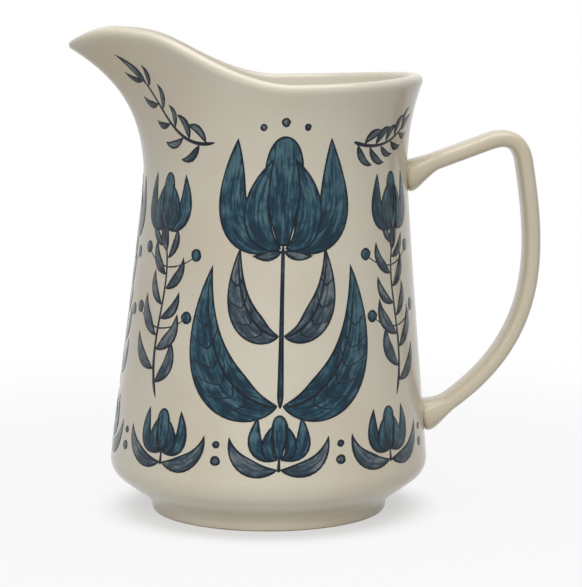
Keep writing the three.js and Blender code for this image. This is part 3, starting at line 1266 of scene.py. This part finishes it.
@dataclass
class Brushwork:
    """Strokes laid on the wall as thin closed coats, gathered into one piece."""

    form: WallForm
    side: Side
    wrap_radius: float = 61.0  # turns a distance across the design into a way round
    coat: float = 0.05  # how far the middle of a stroke stands above its edge
    coat_run: float = 0.7  # distance from the edge over which it rises
    under: float = 0.3  # how far a stroke is let into the wall
    unsteady: float = 0.07  # share by which the width of a stroke wavers
    waves: tuple[float, float] = (4.0, 9.0)  # least and most turn of a wave along the stroke
    least_half: float = 0.05  # half the width of a stroke where it is narrowest
    steps_per_mm: float = 0.9
    step_limits: tuple[int, int] = (11, 46)
    pairs_per_mm: float = 0.35  # pairs of points across a stroke, beyond the first three points
    across_limits: tuple[int, int] = (3, 13)
    seed_step: float = 0.618  # sets the streaks of one stroke apart from the next
    shape: Shape = field(default_factory=Shape)
    hand: np.random.Generator = field(default_factory=lambda: np.random.default_rng(11))
    strokes: int = 0

    def lay(self, x: Array, z: Array, lift: Array | float) -> Array:
        """Puts points of the flat design on the wall.

        Args:
            x: Distance across the design.
            z: Height.
            lift: How far they stand above the wall.

        Returns:
            The points.
        """
        turn = self.side.value + np.asarray(x) / self.wrap_radius
        point, _, out = self.form.frame_at(turn, np.asarray(z))
        return point + out * np.broadcast_to(np.asarray(lift, dtype=float), turn.shape)[:, None]

    def stroke(self, spine: Spine, width: float, taper: Taper, tone: Tone, lift: float) -> None:
        """Lays one stroke.

        Args:
            spine: Control points of its middle line, from base to tip.
            width: Its greatest width.
            taper: How the width runs.
            tone: What it is painted with.
            lift: How far its edge stands above the wall.
        """
        reach = float(np.linalg.norm(np.array(spine[-1]) - np.array(spine[0])))
        steps = int(np.clip(reach * self.steps_per_mm, *self.step_limits))
        pairs = 0 if tone is Tone.LINE else round(width * self.pairs_per_mm)
        across = int(np.clip(2 * pairs + 3, *self.across_limits))
        share = 0.5 - 0.5 * np.cos(math.pi * np.linspace(0, 1, steps))
        half = np.maximum(taper.half_widths(share) * width / 2, self.least_half)
        spread = np.sin(math.pi / 2 * np.linspace(-1, 1, across))
        phase, pace = self.hand.uniform(0, FULL_TURN, 2), self.hand.uniform(*self.waves, 2)
        waver = 1 + self.unsteady * np.sin(np.outer(share, pace) + phase)
        wide = half[:, None] * spread * np.where(spread < 0, waver[:, :1], waver[:, 1:])
        self.cover(bezier(share, *spine), wide, tone, lift)

    def line(self, spine: Spine, width: float, lift: float) -> None:
        """Lays a thin dark line along a spine."""
        self.stroke(spine, width, Taper.STEM, Tone.LINE, lift)

    def cover(self, middle: Array, wide: Array, tone: Tone, lift: float) -> None:
        """Lays the coat of one stroke.

        Args:
            middle: Points of its middle line, from base to tip.
            wide: How far to the left of each of them the points across the stroke lie.
            tone: What it is painted with.
            lift: How far its edge stands above the wall.
        """
        way = unit(np.gradient(middle, axis=0))
        left = np.stack((-way[:, 1], way[:, 0]), axis=1)
        flat = middle[1:-1, None] + left[1:-1, None] * wide[1:-1, :, None]
        border = np.concatenate((middle[:1], flat[:, 0], middle[-1:], flat[::-1, -1]))
        body = np.concatenate((middle[:1], flat.reshape(-1, 2), middle[-1:]))
        edge = self.border_distance(body, border)
        lifts = lift + self.coat * smoothstep(edge, 0, self.coat_run)
        run, across = run_along(middle), wide.shape[1]
        along = np.concatenate(([0], np.repeat(run[1:-1], across), run[-1:]))
        aside = np.concatenate(([0], wide[1:-1].ravel(), [0]))
        self.strokes += 1
        seed = self.strokes * self.seed_step
        first = self.shape.add_points(
            self.lay(body[:, 0], body[:, 1], lifts),
            stroke=np.stack((along, aside, np.full(len(body), seed)), axis=1),
            wash=np.stack((edge, along / run[-1], np.full(len(body), tone.value)), axis=1),
        )
        rims = np.concatenate((middle[:1], flat[:, (0, -1)].reshape(-1, 2), middle[-1:]))
        plain = np.zeros((len(rims), 3))
        below = self.shape.add_points(
            self.lay(rims[:, 0], rims[:, 1], -self.under),
            stroke=plain + (0, 0, seed), wash=plain + (0, 0, tone.value),
        )
        self.close(first, below, len(flat), across)

    @staticmethod
    def border_distance(points: Array, border: Array) -> Array:
        """How far each point lies from a closed border.

        Args:
            points: The points.
            border: The border's corners in order.

        Returns:
            One distance for each point.
        """
        start, end = border, np.roll(border, -1, axis=0)
        run = end - start
        size = np.maximum((run**2).sum(axis=1), 1e-12)
        share = ((points[:, None] - start) * run).sum(axis=2) / size
        near = start + np.clip(share, 0, 1)[..., None] * run
        return np.linalg.norm(points[:, None] - near, axis=2).min(axis=1)

    def close(self, first: int, below: int, rows: int, across: int) -> None:
        """Joins the points of one stroke into a closed coat.

        Args:
            first: Number of its first upper point.
            below: Number of its first lower point.
            rows: Rows between its two ends.
            across: Points in each row.
        """
        add = self.shape.add_face
        tip, low_tip = first + 1 + rows * across, below + 1 + rows * 2

        def over(row: int, k: int) -> int:
            """An upper point."""
            return first + 1 + row * across + k

        def beneath(row: int, k: int) -> int:
            """A lower point, 0 on the right and 1 on the left."""
            return below + 1 + row * 2 + k

        last, end = across - 1, rows - 1
        for k in range(last):
            add(first, over(0, k), over(0, k + 1))
            add(over(end, k), tip, over(end, k + 1))
        for i in range(end):
            for k in range(last):
                add(over(i, k), over(i + 1, k), over(i + 1, k + 1), over(i, k + 1))
            add(beneath(i, 0), beneath(i, 1), beneath(i + 1, 1), beneath(i + 1, 0), flat=True)
            add(beneath(i, 0), beneath(i + 1, 0), over(i + 1, 0), over(i, 0), flat=True)
            add(beneath(i + 1, 1), beneath(i, 1), over(i, last), over(i + 1, last), flat=True)
        add(below, beneath(0, 1), beneath(0, 0), flat=True)
        add(beneath(end, 0), beneath(end, 1), low_tip, flat=True)
        add(below, beneath(0, 0), over(0, 0), first, flat=True)
        add(beneath(0, 1), below, first, over(0, last), flat=True)
        add(beneath(end, 0), low_tip, tip, over(end, 0), flat=True)
        add(low_tip, beneath(end, 1), over(end, last), tip, flat=True)

    def berry(self, x: float, z: float, radius: float, tone: Tone, lift: float) -> None:
        """Lays a round dot at a point of the design."""
        self.stroke(((x, z - radius), (x, z + radius)), 2 * radius, Taper.BERRY, tone, lift)

    def finish(self, name: str, bench: Bench) -> None:
        """Makes a piece of the strokes laid so far."""
        bench.set_down(name, self.shape, Slot.BLUE, bench.blue)
        log.info("%s: %d strokes", name, self.strokes)


@dataclass
class Ornament(Brushwork):
    """A brush that paints tulips, veined leaves and sprigs."""

    stem_lift: float = 0.05  # how far the edges of stems stand above the wall
    flower_lift: float = 0.07
    petal_lift: float = 0.05  # of each layer of petals over the one below it
    leaf_lift: float = 0.08
    top_lift: float = 0.09
    over_lift: float = 0.1  # of what lies over leaves
    vein_lift: float = 0.02  # of ribs and veins over their leaf
    middle_petal: Spine = ((0, 0.02), (0, 0.4), (0, 1))  # petals are in heights of the flower
    middle_width: float = 0.44
    outer_petal: Spine = ((0.03, 0), (0.66, 0.02), (0.5, 0.6), (0.46, 0.98))
    outer_width: float = 0.32
    inner_petal: Spine = ((0.02, 0), (0.34, 0.06), (0.3, 0.5), (0.1, 0.8))
    inner_width: float = 0.26
    rib_run: tuple[float, float] = (0.02, 0.93)  # shares of a veined leaf that its rib runs over
    rib_points: int = 5
    rib_width: float = 1.3
    vein_run: tuple[float, float] = (0.2, 0.74)  # shares of it that its veins begin at
    vein: Spine = ((0, 0), (0.35, 0.5), (0.95, 0.74))  # in half widths of the leaf
    vein_width: float = 0.75
    stem_width: float = 1.6
    pairs: int = 5  # of leaves on a sprig
    pair_run: tuple[float, float] = (0.12, 0.9)  # shares of the stem that they grow from
    leaf: Spine = ((0.3, 0.62), (0.86, 0.56))  # in lengths of the leaf, past its base
    leaf_base: float = 0.5  # distance of that from the middle of the stem
    leaf_width: float = 0.3  # in lengths of the leaf
    leaf_taper: float = 0.35  # share by which leaves are shorter at the top of the stem
    leaf_change: float = 0.08  # share by which they differ from pair to pair
    leaf_rhythm: float = 2.4  # how fast that changes
    lead: float = 0.14  # of a left leaf, and lag of a right one, in lengths of the longest leaf
    twig: Spine = ((0.3, 0), (0.34, 0.5), (0.62, 0.78))  # in the same, as the next three are
    berry_radius: float = 0.13
    top_leaf: float = 0.62
    top_width: float = 0.26
    twig_width: float = 0.7  # in millimetres
    near: float = 0.02  # share of a spine over which its direction is taken

    def veined_leaf(self, spine: Spine, width: float, tone: Tone, lift: float,
                    veins: int) -> None:
        """Lays a large leaf with its rib and veins.

        Args:
            spine: Control points of its middle line.
            width: Its greatest width.
            tone: What its wash is painted with.
            lift: How far its edge stands above the wall.
            veins: Veins on each side.
        """
        self.stroke(spine, width, Taper.LEAF, tone, lift)
        top = lift + self.coat + self.vein_lift
        self.line(bezier(np.linspace(*self.rib_run, self.rib_points), *spine), self.rib_width, top)
        places = np.linspace(*self.vein_run, veins)
        starts = bezier(places, *spine)
        ways = unit(bezier(places + self.near, *spine) - starts)
        halves = Taper.LEAF.half_widths(places) * width / 2
        for start, way, half in zip(starts, ways, halves):
            for turn in (-1, 1):
                self.line(branch_off(start, way, self.vein, half, turn), self.vein_width, top)

    def tulip(self, x: float, z: float, height: float) -> None:
        """Lays a tulip in profile, with outer and inner petals over a middle one.

        Args:
            x: Middle of the flower.
            z: Height of its base.
            height: Its own height.
        """
        lift = self.flower_lift
        self.stroke(placed(self.middle_petal, 1, x, z, height), self.middle_width * height,
                    Taper.PETAL, Tone.DEEP, lift)
        for petal, width in ((self.outer_petal, self.outer_width),
                             (self.inner_petal, self.inner_width)):
            lift += self.petal_lift
            for way in (-1, 1):
                self.stroke(placed(petal, way, x, z, height), width * height, Taper.LEAF,
                            Tone.DEEP, lift)

    def sprig(self, spine: Spine, leaf: float, berries: bool = True) -> None:
        """Lays a stem with paired slender leaves, berries between them and one leaf on top.

        Args:
            spine: Control points of the stem.
            leaf: Length of the longest leaf.
            berries: Whether it bears berries.
        """
        self.line(spine, self.stem_width, self.stem_lift)
        places = np.linspace(*self.pair_run, self.pairs)
        points = bezier(places, *spine)
        ways = unit(bezier(np.minimum(places + self.near, 1), *spine)
                    - bezier(places - self.near, *spine))
        for number, (point, way, share) in enumerate(zip(points, ways, places)):
            change = 1 + self.leaf_change * math.sin(self.leaf_rhythm * number)
            size = leaf * (1 - self.leaf_taper * share) * change
            for turn in (-1, 1):
                foot = point + way * (self.lead * leaf * turn)
                base = branch_off(foot, way, ((0, self.leaf_base),), 1, turn)
                self.stroke(base + branch_off(foot, way, self.leaf, size, turn),
                            self.leaf_width * size, Taper.LEAF, Tone.SLATE, self.leaf_lift)
                if berries and number % 2 and number < self.pairs - 1:
                    twig = branch_off(point, way, self.twig, leaf, turn)
                    self.line(twig, self.twig_width, self.stem_lift)
                    self.berry(*twig[-1], self.berry_radius * leaf, Tone.DEEP, self.over_lift)
        end = np.array(spine[-1])
        self.stroke((points[-1], end, end + ways[-1] * leaf * self.top_leaf),
                    self.top_width * leaf, Taper.LEAF, Tone.SLATE, self.top_lift)


@dataclass
class PaintedPanel:
    """A tall tulip between leaves and sprigs, the same on both broad sides of the body."""

    form: WallForm
    side: Side
    name: str
    stem_foot: float = 54.0
    stem_width: float = 2.6
    stem_hidden: float = 2.0  # of the stem, behind the flower
    large_leaf: Spine = ((1, 1), (22, -4), (38, 22), (30, 57))  # from the foot of the stem
    large_width: float = 19.0
    large_veins: int = 6
    small_leaf: Spine = ((1, 29), (13, 27), (22, 42), (18, 65))
    small_width: float = 11.5
    small_veins: int = 4
    flower_foot: float = 118.0
    flower_height: float = 45.0
    sepal: Spine = ((0.5, -1), (6, -4), (13, -3))  # from the foot of the flower
    sepal_width: float = 4.2
    side_berry: tuple[float, float] = (9.5, 3.5)  # from the top of the flower
    side_berry_radius: float = 1.5
    top_berry: float = 5.5
    top_berry_radius: float = 1.9
    side_stem: Spine = ((54, 55), (64, 80), (48, 100), (58, 121))
    side_leaf: float = 20.0
    side_flower_foot: float = 124.0
    side_flower_height: float = 23.0
    beak_branch: Spine = ((32, 160), (50, 156), (63, 170), (76, 188))
    rim_branch: Spine = ((32, 160), (44, 156), (56, 158), (68, 166))
    branch_leaf: float = 13.0

    def build(self, bench: Bench) -> None:
        """Paints the panel.

        Args:
            bench: Where it is set down.
        """
        brush = Ornament(self.form, self.side)
        self.centre(brush)
        for way in (-1, 1):
            self.column(brush, way)
        brush.finish(self.name, bench)

    def centre(self, brush: Ornament) -> None:
        """Paints the tall tulip with its leaves.

        Args:
            brush: The brush that lays the strokes.
        """
        foot, flower = self.stem_foot, self.flower_foot
        top = flower + self.flower_height
        brush.stroke(((0, foot), (0, flower + self.stem_hidden)), self.stem_width, Taper.STEM,
                     Tone.DEEP, brush.stem_lift)
        for way in (-1, 1):
            brush.veined_leaf(placed(self.large_leaf, way, z=foot), self.large_width, Tone.DEEP,
                              brush.leaf_lift, self.large_veins)
            brush.veined_leaf(placed(self.small_leaf, way, z=foot), self.small_width, Tone.SLATE,
                              brush.over_lift, self.small_veins)
            brush.stroke(placed(self.sepal, way, z=flower), self.sepal_width, Taper.LEAF,
                         Tone.SLATE, brush.over_lift)
            brush.berry(self.side_berry[0] * way, top + self.side_berry[1],
                        self.side_berry_radius, Tone.SLATE, brush.leaf_lift)
        brush.tulip(0, flower, self.flower_height)
        brush.berry(0, top + self.top_berry, self.top_berry_radius, Tone.SLATE, brush.leaf_lift)

    def column(self, brush: Ornament, way: int) -> None:
        """Paints the sprigs to one side of the tulip.

        Args:
            brush: The brush that lays the strokes.
            way: 1 on the right and -1 on the left.
        """
        stem = placed(self.side_stem, way)
        brush.sprig(stem, self.side_leaf)
        brush.tulip(stem[-1][0], self.side_flower_foot, self.side_flower_height)
        to_beak = (way < 0) == (self.side is Side.FRONT)
        branch = self.beak_branch if to_beak else self.rim_branch
        brush.sprig(placed(branch, way), self.branch_leaf, berries=False)


@dataclass
class BeakSprig:
    """A sprig with a tulip on the narrow side of the body, below the beak."""

    form: WallForm
    stem: Spine = ((0, 54), (3, 78), (-3, 98), (0, 116))
    leaf: float = 20.0
    flower_foot: float = 119.0
    flower_height: float = 25.0

    def build(self, bench: Bench) -> None:
        """Paints the sprig.

        Args:
            bench: Where it is set down.
        """
        brush = Ornament(self.form, Side.BEAK)
        brush.sprig(self.stem, self.leaf)
        brush.tulip(0, self.flower_foot, self.flower_height)
        brush.finish("beak_sprig", bench)


@dataclass
class BaseBorder:
    """A border of small tulips and leaves round the foot of the wall."""

    form: WallForm
    repeats: int = 8
    handle_place: int = 4  # the repeat that the handle's root covers
    foot: float = 27.5
    stem: Spine = ((0, 1), (0, 7))  # from the foot of the border, as the leaf and the berries are
    stem_width: float = 1.4
    leaf: Spine = ((0.5, 2), (10, -0.5), (18, 5), (19, 15))
    leaf_width: float = 6.6
    flower_foot: float = 33.5
    flower_height: float = 18.0
    berries: tuple[tuple[float, float], ...] = ((5.0, 2.0), (11.5, 1.5))  # height and radius

    def build(self, bench: Bench) -> None:
        """Paints the border.

        Args:
            bench: Where it is set down.
        """
        brush = Ornament(self.form, Side.BEAK)
        pitch = FULL_TURN * brush.wrap_radius / self.repeats
        for number in range(self.repeats):
            if number == self.handle_place:
                continue
            x = number * pitch
            brush.line(placed(self.stem, 1, x, self.foot), self.stem_width, brush.stem_lift)
            brush.tulip(x, self.flower_foot, self.flower_height)
            for way in (-1, 1):
                brush.stroke(placed(self.leaf, way, x, self.foot), self.leaf_width, Taper.LEAF,
                             Tone.SLATE, brush.leaf_lift)
            for height, radius in self.berries:
                brush.berry(x + pitch / 2, self.foot + height, radius, Tone.SLATE,
                            brush.leaf_lift)
        brush.finish("base_border", bench)


@dataclass(frozen=True)
class Lamp:
    """A soft box: its place and size in metres, power in watts, mirror image and target."""

    name: str
    place: tuple[float, float, float]
    size: float
    power: float
    mirrored: bool = True  # whether the glaze shows its reflection
    target: tuple[float, float, float] = (0.0, 0.0, 0.1)

    def hang(self) -> None:
        """Hangs the lamp and turns it to its target."""
        data = bpy.data.lights.new(self.name, "AREA")
        data.shape, data.size, data.energy = "SQUARE", self.size, self.power
        lamp = bpy.data.objects.new(self.name, data)
        lamp.location = self.place
        lamp.visible_glossy = self.mirrored
        aim = np.array(self.target) - np.array(self.place)
        level = math.hypot(aim[0], aim[1])
        lamp.rotation_euler = (math.atan2(level, -aim[2]), 0,
                               math.atan2(-aim[0], aim[1]) if level > 1e-6 else 0)
        bpy.context.scene.collection.objects.link(lamp)


@dataclass
class Studio:
    """Pale floor, soft light and the camera. The floor is in metres from the pitcher's axis."""

    floor_rims: tuple[float, ...] = (0.2, 0.4, 0.8, 1.8, 4.0)
    floor_sides: int = 96
    floor_colour: Rgba = srgb(204, 204, 202)
    outer_colour: Rgba = srgb(130, 130, 128)  # of the floor away from the pitcher
    colour_fade: tuple[float, float] = (0.1, 0.42)  # where the one turns into the other
    floor_glow: float = 0.88  # share of the floor that shows as plain white near the pitcher
    glow_fade: tuple[float, float] = (0.12, 0.45)  # where all of it does
    shade_glow: float = 0.62  # of that share, left in the shade under the base
    shade_fade: tuple[float, float] = (0.052, 0.078)  # where that shade ends
    sky: float = 0.16
    lamps: tuple[Lamp, ...] = (
        Lamp("overhead_box", (0.05, -0.05, 1.5), 1.4, 17.0),
        Lamp("front_box", (-0.32, -1.75, 0.62), 1.6, 22.0, mirrored=False),
        Lamp("left_strip", (-0.85, -0.9, 0.5), 0.16, 0.3),
        Lamp("right_strip", (0.85, -0.9, 0.5), 0.16, 0.3),
    )
    stand_off: float = 983.2  # of the camera from the body's axis, level
    eye_height: float = 224.4
    aside: float = 9.63  # of the camera from the plane through the axis
    swing: float = math.radians(-3.9)
    tilt: float = math.radians(7.662)
    focal_pixels: float = 2323.7
    sensor: float = 36.0

    def white_rays(self, sheet: NodeSheet) -> bpy.types.NodeSocket:
        """Adds a test for the rays that see the white backdrop.

        Args:
            sheet: Nodes of the floor or the sky.

        Returns:
            1 for those rays and 0 for the rest.
        """
        path = sheet.add("ShaderNodeLightPath").outputs
        seen = path["Is Camera Ray"]
        for other in ("Is Glossy Ray", "Is Transmission Ray"):
            seen = sheet.math("MAXIMUM", seen, path[other])
        return seen

    def by_distance(self, sheet: NodeSheet, fade: tuple[float, float], near: float,
                    far: float) -> bpy.types.NodeSocket:
        """Adds a value that changes with the distance from the pitcher.

        Args:
            sheet: Nodes of the floor.
            fade: Distances at which it begins to change and has changed, in metres.
            near: The value by the pitcher.
            far: The value away from it.

        Returns:
            The value.
        """
        away = sheet.add("ShaderNodeVectorMath", operation="LENGTH")
        sheet.join(sheet.here(), away.inputs[0])
        return sheet.span(away.outputs["Value"], *fade, near, far)

    def floor_shape(self) -> Shape:
        """Makes a disc of rings round its middle.

        Returns:
            The disc.
        """
        turn, sides = even_turns(self.floor_sides), self.floor_sides
        rims = [np.stack((r * np.cos(turn), r * np.sin(turn), 0 * turn), axis=-1)
                for r in self.floor_rims]
        shape = Shape()
        middle = shape.add_points(np.zeros((1, 3)))
        first = shape.add_points(np.concatenate(rims) / MM)
        for j in range(sides):
            k = (j + 1) % sides
            shape.add_face(middle, first + j, first + k)
            for i in range(len(rims) - 1):
                here, after = first + i * sides, first + (i + 1) * sides
                shape.add_face(here + j, after + j, after + k, here + k)
        return shape

    def floor_finish(self) -> bpy.types.Material:
        """Makes the floor white to the eye, apart from the shadow on it.

        Returns:
            The material.
        """
        material = bpy.data.materials.new("pale_floor")
        material.use_nodes = True
        sheet = NodeSheet(material.node_tree)
        sheet.tree.nodes.clear()
        matt = sheet.add("ShaderNodeBsdfDiffuse")
        outer = self.by_distance(sheet, self.colour_fade, 0, 1)
        sheet.join(sheet.mix(outer, self.floor_colour, self.outer_colour), matt.inputs["Color"])
        glow = sheet.add("ShaderNodeEmission")
        share = self.white_rays(sheet)
        for fade, near in ((self.shade_fade, self.shade_glow), (self.glow_fade, self.floor_glow)):
            share = sheet.math("MULTIPLY", share, self.by_distance(sheet, fade, near, 1))
        blend = sheet.add("ShaderNodeMixShader")
        for socket, source in zip(blend.inputs, (share, matt.outputs[0], glow.outputs[0])):
            sheet.join(source, socket)
        sheet.join(blend.outputs[0], sheet.add("ShaderNodeOutputMaterial").inputs["Surface"])
        return material

    def lay_floor(self, axis: float) -> None:
        """Lays the pale floor under the pitcher.

        Args:
            axis: Where the body's axis stands, in metres along X.
        """
        floor = self.floor_shape().to_piece("floor", 0.0, (self.floor_finish(),))
        floor.location.x = axis

    def light(self) -> None:
        """Sets the even sky and hangs the lamps."""
        world = bpy.data.worlds.new("studio")
        bpy.context.scene.world = world
        world.use_nodes = True
        sheet = NodeSheet(world.node_tree)
        sheet.tree.nodes.clear()
        sky = sheet.add("ShaderNodeBackground", Color=(1, 1, 1, 1))
        sheet.join(sheet.span(self.white_rays(sheet), 0, 1, self.sky, 1), sky.inputs["Strength"])
        sheet.join(sky.outputs[0], sheet.add("ShaderNodeOutputWorld").inputs["Surface"])
        for lamp in self.lamps:
            lamp.hang()

    def set_camera(self, axis: float) -> None:
        """Sets the camera where the photograph was taken.

        Args:
            axis: Where the body's axis stands, in metres along X.
        """
        data = bpy.data.cameras.new("camera")
        data.sensor_width = self.sensor
        data.lens = self.focal_pixels / PHOTO_HEIGHT * self.sensor
        camera = bpy.data.objects.new("camera", data)
        cos, sin = math.cos(self.swing), math.sin(self.swing)
        camera.location = (
            axis + (self.aside * cos + self.stand_off * sin) * MM,
            (self.aside * sin - self.stand_off * cos) * MM,
            self.eye_height * MM,
        )
        camera.rotation_euler = (math.pi / 2 - self.tilt, 0, self.swing)
        bpy.context.scene.collection.objects.link(camera)
        bpy.context.scene.camera = camera

    def build(self, axis: float) -> None:
        """Sets up the whole studio.

        Args:
            axis: Where the body's axis stands, in metres along X.
        """
        bpy.context.scene.view_settings.view_transform = "Standard"
        self.lay_floor(axis)
        self.light()
        self.set_camera(axis)


def main() -> None:
    """Builds the pitcher piece by piece, then the studio round it."""
    logging.basicConfig(level=logging.INFO, format="%(message)s")
    low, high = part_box("foot_ring")
    bench, form = Bench((low[0] + high[0]) / 2), WallForm()
    makers = (
        Vessel(form),
        FootRing(form),
        Handle(form),
        PaintedPanel(form, Side.FRONT, "front_painting"),
        PaintedPanel(form, Side.BACK, "back_painting"),
        BeakSprig(form),
        BaseBorder(form),
    )
    for maker in makers:
        maker.build(bench)
    Studio().build(bench.axis)


if __name__ == "__main__":
    main()
